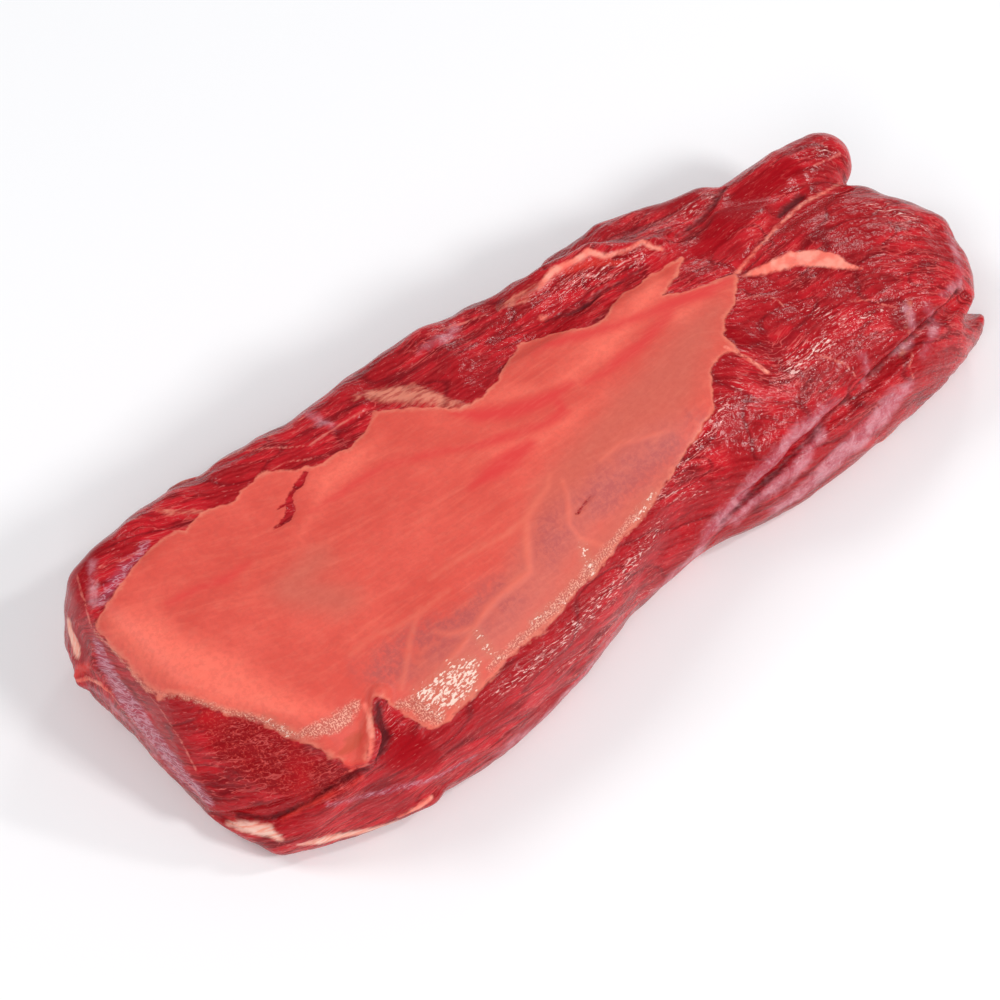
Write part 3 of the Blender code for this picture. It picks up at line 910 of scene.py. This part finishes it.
def muscle_colour(s, lay, place, ripple, ragged, glint):
    bundle = s.noise(s.stretched(lay, 22, 3.2, 3), 1, 4, 0.65, 0.4)
    patch = s.noise(place, 30, 3, 0.55)
    red = s.mix(s.ramp(bundle, 0.38, 0.62), srgb(128, 4, 14), srgb(196, 24, 36))
    red = s.mix(s.ramp(patch, 0.42, 0.62, 0, 0.85), red, srgb(154, 6, 18))
    red = s.mix(s.math("MULTIPLY", ripple, 0.22), red, srgb(218, 56, 60))
    # painted shade: dark lines along the grooves between the bundles
    painted_groove_shade = s.math("ABSOLUTE", s.math("MULTIPLY_ADD", ragged, 0.06, s.attribute("groove")))
    red = s.mix(s.ramp(painted_groove_shade, 0.11, 0.0, 0, 0.6), red, srgb(104, 2, 12))
    speck = s.noise(place, 900, 4, 0.7)
    cut_face = s.mix(s.ramp(patch, 0.4, 0.6), srgb(142, 10, 18), srgb(190, 22, 30))
    cut_face = s.mix(s.ramp(speck, 0.5, 0.66, 0, 0.75), cut_face, srgb(214, 76, 68))
    red = s.mix(stroke_mask(s, "cut", ragged, 5.0, -3.0, 4.0, 0.85), red, cut_face)
    # darker red where the muscle is calm, and painted shade in the notch wall and behind the flap
    even = stroke_mask(s, "smooth", ragged, 3.0, -2.0, 3.0, 0.75)
    red = s.mix(even, red, srgb(158, 10, 22))
    hair = s.ridges(s.noise(s.stretched(lay, 13, 1.5, 31), 1, 2, 0.5, 0.6))
    tissue = s.math("MULTIPLY", s.ramp(hair, 0.12, 0.02), s.ramp(patch, 0.56, 0.4, 0.06, 0.6))
    tissue = s.math("MULTIPLY", tissue, s.math("SUBTRACT", 1.0, even))
    red = s.mix(tissue, red, srgb(220, 92, 88))
    # painted highlights: pale lines along the fibres where glints show
    painted_glint_lines = s.math("MULTIPLY", s.ramp(hair, 0.1, 0.01), s.math("MULTIPLY", glint, 0.45))
    red = s.mix(painted_glint_lines, red, srgb(240, 168, 162))
    # silverskin film in a lilac painted sheen, with painted highlight specks
    film = s.noise(place, 130, 4, 0.65, 0.6)
    silverskin_and_sheen = stroke_mask(s, "silverskin_and_sheen", film, 8.0, 1.0, 7.4, 0.8)
    sheen = s.mix(s.ramp(film, 0.36, 0.64), srgb(186, 84, 98), srgb(214, 142, 152))
    sheen = s.mix(s.ramp(speck, 0.5, 0.7, 0, 0.35), sheen, srgb(234, 188, 198))
    red = s.mix(silverskin_and_sheen, red, sheen)
    # silverskin net: a purple painted sheen with pale threads over it
    mesh = s.ridges(s.noise(s.stretched(lay, 5.0, 1.9, 71), 1, 2, 0.5, 0.8))
    threads = s.math("MINIMUM", hair, mesh)
    web_and_sheen = stroke_mask(s, "web_and_sheen", ragged, 3.0, -1.5, 2.5, 1)
    red = s.mix(s.math("MULTIPLY", web_and_sheen, 0.65), red, srgb(168, 68, 88))
    red = s.mix(s.math("MULTIPLY", web_and_sheen, s.ramp(threads, 0.2, 0.03, 0, 0.6)), red, srgb(220, 164, 178))
    red = s.mix(stroke_mask(s, "strand", ragged, 0.8, -0.5, 0.4, 0.8), red, srgb(224, 120, 108))
    return red


def fascia_colour(s, lay, place, grain, ragged):
    cloud = s.noise(place, 26, 4, 0.65)
    long = s.noise(s.stretched(lay, 60, 4.5, 81), 1, 4, 0.65, 0.5)
    sheet = s.mix(s.ramp(cloud, 0.3, 0.7), srgb(214, 78, 66), srgb(230, 94, 80))
    sheet = s.mix(s.ramp(long, 0.5, 0.72, 0, 0.3), sheet, srgb(240, 120, 98))
    sheet = s.mix(stroke_mask(s, "pale", cloud, 12.0, 2, 18, 0.8), sheet, srgb(255, 122, 102))
    beige = stroke_mask(s, "beige", cloud, 16.0, 2, 18, 0.8)
    sheet = s.mix(beige, sheet, srgb(204, 100, 84))
    grey = stroke_mask(s, "grey", cloud, 14.0, 2, 14, 1)
    mottle = s.noise(place, 420, 3, 0.7)
    pools = s.noise(place, 70, 3, 0.55)
    dim = s.math("MULTIPLY", s.ramp(mottle, 0.34, 0.62, 0.4, 1), s.ramp(pools, 0.38, 0.58, 0.3, 1))
    sheet = s.mix(s.math("MULTIPLY", grey, dim), sheet, srgb(182, 84, 80))
    sheet = s.mix(s.ramp(mottle, 0.4, 0.66, 0, 0.22), sheet, srgb(190, 74, 66))
    streak = stroke_mask(s, "streak", cloud, 7.0, 0.4, 6.4, 0.85)
    sheet = s.mix(streak, sheet, srgb(220, 58, 58))
    vein = stroke_mask(s, "vein", mottle, 3.0, -0.3, 3.0, 0.75)
    sheet = s.mix(vein, sheet, srgb(228, 110, 90))
    sheet = s.mix(s.ramp(grain, 0.46, 0.7, 0, 0.1), sheet, srgb(240, 140, 116))
    rim = s.math("MULTIPLY_ADD", ragged, 2.0, s.attribute("sheet"))
    sheet = s.mix(s.ramp(rim, 2.2, -0.4, 0, 0.6), sheet, srgb(232, 136, 112))
    near = s.ramp(s.math("MULTIPLY_ADD", ragged, 3.0, s.attribute("sparkle")), -5.0, 1.0, 0, 0.8)
    return s.mix(near, sheet, srgb(206, 112, 92))


def meat_material():
    material = bpy.data.materials.new("raw_beef")
    s = Shading(material)
    place = s.tree.nodes.new("ShaderNodeTexCoord").outputs["Object"]
    lay = s.attribute("lay")
    fine = s.noise(place, 420, 2, 0.6)
    teeth = s.noise(s.stretched(lay, 4.5, 1.2, 17), 1, 2, 0.6)
    ragged = s.math("ADD", s.math("MULTIPLY_ADD", fine, 0.8, -0.4), s.math("MULTIPLY_ADD", teeth, 1.6, -0.8))
    warp = s.noise(s.stretched(lay, 15, 6, 5), 1, 3, 0.55)
    phase = s.math("MULTIPLY_ADD", s.part(lay, 1), 6.283 / RIPPLE, s.math("MULTIPLY", warp, 22.0))
    ripple = s.math("MULTIPLY_ADD", s.math("SINE", phase), 0.5, 0.5)
    grain = s.noise(s.stretched(lay, 8, 1.4, 21), 1, 3, 0.6)
    granules = s.noise(s.stretched(lay, 1.7, 0.8, 51), 1, 2, 0.6)
    grit = s.noise(place, 1500, 2, 0.6)
    bays = s.noise(place, 170, 2, 0.5)

    glint = s.ramp(s.math("MULTIPLY_ADD", teeth, 8, s.attribute("glint")), 0, 11)
    muscle = muscle_colour(s, lay, place, ripple, ragged, glint)
    fascia = fascia_colour(s, lay, place, grain, ragged)
    fade = s.math("MULTIPLY_ADD", s.ramp(s.attribute("sparkle"), -6.0, 0.0), -1.6, -0.6)
    edge = s.math("MULTIPLY_ADD", ragged, 1.0, s.math("MULTIPLY_ADD", bays, 4.0, -2.0))
    on_sheet = s.ramp(s.math("ADD", edge, s.attribute("sheet")), fade, 0.6)
    on_sheet = s.math("MULTIPLY", on_sheet, stroke_mask(s, "open", ragged, -1.2, 0.4, -0.3, 1))
    colour = s.mix(on_sheet, muscle, fascia)
    fat = stroke_mask(s, "fat", ragged, 1.3, -0.9, 1.0, 0.92)
    colour = s.mix(fat, colour, s.mix(s.ramp(bays, 0.35, 0.65), srgb(254, 124, 106), srgb(255, 162, 142)))
    tallow = stroke_mask(s, "tallow", ragged, 1.6, -1.2, 1.6, 0.9)
    colour = s.mix(tallow, colour, s.mix(s.ramp(grain, 0.4, 0.6), srgb(252, 166, 144), srgb(255, 210, 192)))
    cream = stroke_mask(s, "cream", teeth, 7.0, 2.0, 6.4, 0.9)
    colour = s.mix(cream, colour, s.mix(s.ramp(grain, 0.36, 0.56), srgb(184, 82, 70), srgb(224, 134, 112)))
    frost = stroke_mask(s, "frost", ragged, 2.4, -1.4, 1.6, 0.85)
    colour = s.mix(frost, colour, s.mix(s.ramp(grit, 0.46, 0.62), srgb(188, 94, 80), srgb(240, 176, 154)))
    colour = s.mix(stroke_mask(s, "amber", ragged, 2.0, -1.0, 1.6, 0.85), colour, srgb(196, 78, 56))
    colour = s.mix(stroke_mask(s, "lip", ragged, 1.6, -1.2, 1.2, 0.75), colour, srgb(222, 58, 50))
    soft = s.math("MAXIMUM", on_sheet, s.math("MAXIMUM", s.math("MAXIMUM", fat, tallow), cream))
    calm = s.math("MAXIMUM", stroke_mask(s, "smooth", ragged, 2.0, -2.0, 3.0, 0.75),
                  stroke_mask(s, "cut", ragged, 4.0, -3.0, 3.0, 0.8))
    sparkle = s.ramp(s.math("MULTIPLY_ADD", ragged, 2.5, s.attribute("sparkle")), -4.0, 1.6)
    # painted highlights: pale dashes along the fibres, densest where glints show
    dashes = s.noise(s.stretched(lay, 3.0, 0.5, 41), 1, 1, 0.5)
    rows = s.math("MULTIPLY_ADD", ripple, 0.08, dashes)
    painted_glint_pattern = s.math("MULTIPLY", s.math("MULTIPLY_ADD", glint, 0.13, rows), s.math("SUBTRACT", 1.0, soft))
    painted_glint_colour = s.mix(glint, srgb(220, 112, 108), srgb(250, 208, 200))
    bright = s.math("MULTIPLY_ADD", glint, 0.5, 0.4)
    colour = s.mix(s.math("MULTIPLY", s.ramp(painted_glint_pattern, 0.725, 0.79), bright), colour, painted_glint_colour)
    # painted highlights: near-white specks where the fascia sparkles
    painted_sparkle_specks = s.ramp(s.math("MULTIPLY_ADD", sparkle, 0.2, granules), 0.67, 0.77, 0, 0.9)
    colour = s.mix(s.math("MULTIPLY", painted_sparkle_specks, s.ramp(sparkle, 0.02, 0.2)), colour, srgb(250, 220, 204))
    # painted shade: near-black in the hole, notch, seams and valley under the flap
    painted_shade = stroke_mask(s, "painted_shade", ragged, 1.6, -1.4, 1.4, 0.85)
    colour = s.mix(painted_shade, colour, srgb(70, 0, 8))

    broken = s.noise(s.stretched(lay, 3.4, 1.5, 2), 1, 2, 0.55)
    stirred = s.math("MULTIPLY", s.math("MULTIPLY_ADD", glint, 0.7, 0.5), s.math("SUBTRACT", 1.0, calm))
    rough_height = s.math("MULTIPLY", ripple, s.math("MULTIPLY", s.ramp(broken, 0.35, 0.65), 0.24))
    rough_height = s.math("MULTIPLY", s.math("MULTIPLY_ADD", broken, 0.8, rough_height), stirred)
    rough_height = s.math("MULTIPLY_ADD", fine, 0.14, rough_height)
    sheet_height = s.math("MULTIPLY", grain, 0.07)
    sheet_height = s.math("MULTIPLY_ADD", granules, s.math("MULTIPLY_ADD", sparkle, 0.7, 0.05), sheet_height)
    height = s.blend(soft, rough_height, sheet_height)
    dull = s.math("MULTIPLY_ADD", soft, 0.26, 0.24)
    shiny = s.math("MAXIMUM", glint, sparkle)
    dull = s.math("MULTIPLY", dull, s.math("MULTIPLY_ADD", shiny, -0.5, 1.0))

    shader = s.tree.nodes.new("ShaderNodeBsdfPrincipled")
    s.set(shader, "Base Color", colour)
    s.set(shader, "Roughness", s.math("MULTIPLY_ADD", painted_shade, 0.4, dull))
    s.set(shader, "Normal", s.bump(height))
    shader.inputs["Subsurface Weight"].default_value = 0.08
    shader.inputs["Subsurface Radius"].default_value = (1.0, 0.25, 0.15)
    shader.inputs["Subsurface Scale"].default_value = 2.5 * METRES
    shader.inputs["IOR"].default_value = 1.45
    s.set(shader, "Specular IOR Level", s.ramp(calm, 0.0, 0.75, 0.28, 0.12))
    out = s.tree.nodes.new("ShaderNodeOutputMaterial")
    s.tree.links.new(shader.outputs[0], out.inputs["Surface"])
    return material


def plain_material(name, colour, roughness):
    material = bpy.data.materials.new(name)
    material.use_nodes = True
    shader = material.node_tree.nodes["Principled BSDF"]
    shader.inputs["Base Color"].default_value = colour
    shader.inputs["Roughness"].default_value = roughness
    return material


def add_floor():
    corners = np.array([(-4, -4, 0), (4, -4, 0), (4, 4, 0), (-4, 4, 0)], float)
    floor = object_from("floor", corners, np.array([[0, 1, 2, 3]]))
    floor.data.materials.append(plain_material("pale_floor", (0.96, 0.96, 0.97, 1), 0.7))
    return floor


def aim(thing, place, target):
    """Puts thing at place, looking down its own -Z at target."""
    forward = np.subtract(target, place)
    forward = forward / np.linalg.norm(forward)
    right = np.cross(forward, [0, 0, 1])
    right = right / np.linalg.norm(right)
    matrix = Matrix.Identity(4)
    for row in range(3):
        matrix[row][0], matrix[row][1], matrix[row][2] = right[row], np.cross(right, forward)[row], -forward[row]
        matrix[row][3] = place[row]
    thing.matrix_world = matrix


def add_camera():
    right, up, forward = camera_axes()
    data = bpy.data.cameras.new("camera")
    data.sensor_width = 36
    data.lens = 36 * CAMERA_AWAY / MM_A_PIXEL / PICTURE
    data.clip_end = 50
    camera = bpy.data.objects.new("camera", data)
    bpy.context.scene.collection.objects.link(camera)
    eye = np.array(LOOKED_AT) - forward * CAMERA_AWAY
    across, down = (PICTURE / 2 - np.array(PICTURE_MIDDLE)) * MM_A_PIXEL
    aim(camera, eye * METRES, (np.array(LOOKED_AT) + across * right - down * up) * METRES)
    bpy.context.scene.camera = camera


def add_light(name, place, size, power, colour=(1, 1, 1)):
    data = bpy.data.lights.new(name, "AREA")
    data.shape = "RECTANGLE"
    data.size, data.size_y = size
    data.energy = power
    data.color = colour
    light = bpy.data.objects.new(name, data)
    bpy.context.scene.collection.objects.link(light)
    aim(light, place, (0, 0, 0.03))


def add_world():
    world = bpy.data.worlds.new("studio")
    world.use_nodes = True
    world.node_tree.nodes["Background"].inputs[0].default_value = (0.96, 0.97, 1.0, 1)
    world.node_tree.nodes["Background"].inputs[1].default_value = 0.34
    bpy.context.scene.world = world


def set_stage():
    add_camera()
    add_world()
    add_light("key", (0.98, -1.88, 1.82), (0.5, 0.5), 30)
    add_light("spark", (1.95, -0.9, 1.85), (0.2, 0.2), 15)
    add_light("front_left", (-1.3, -1.2, 1.6), (1.1, 1.1), 15)
    add_light("back_left", (-1.4, 1.4, 2.0), (1.0, 1.0), 20)
    add_light("back_right", (2.0, 1.6, 1.2), (0.5, 0.5), 8)
    scene = bpy.context.scene
    scene.view_settings.view_transform = "Standard"
    scene.view_settings.look = "None"


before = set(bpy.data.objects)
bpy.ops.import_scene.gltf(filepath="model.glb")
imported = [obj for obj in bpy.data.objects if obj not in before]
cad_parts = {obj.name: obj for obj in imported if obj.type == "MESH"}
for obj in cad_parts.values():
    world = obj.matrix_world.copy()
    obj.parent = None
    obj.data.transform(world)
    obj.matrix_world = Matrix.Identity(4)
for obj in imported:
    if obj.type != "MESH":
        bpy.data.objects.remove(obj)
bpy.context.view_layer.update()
roast = build_meat()
roast.data.materials.clear()
roast.data.materials.append(meat_material())
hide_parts(NODE)
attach(roast, "root")
add_floor()
set_stage()
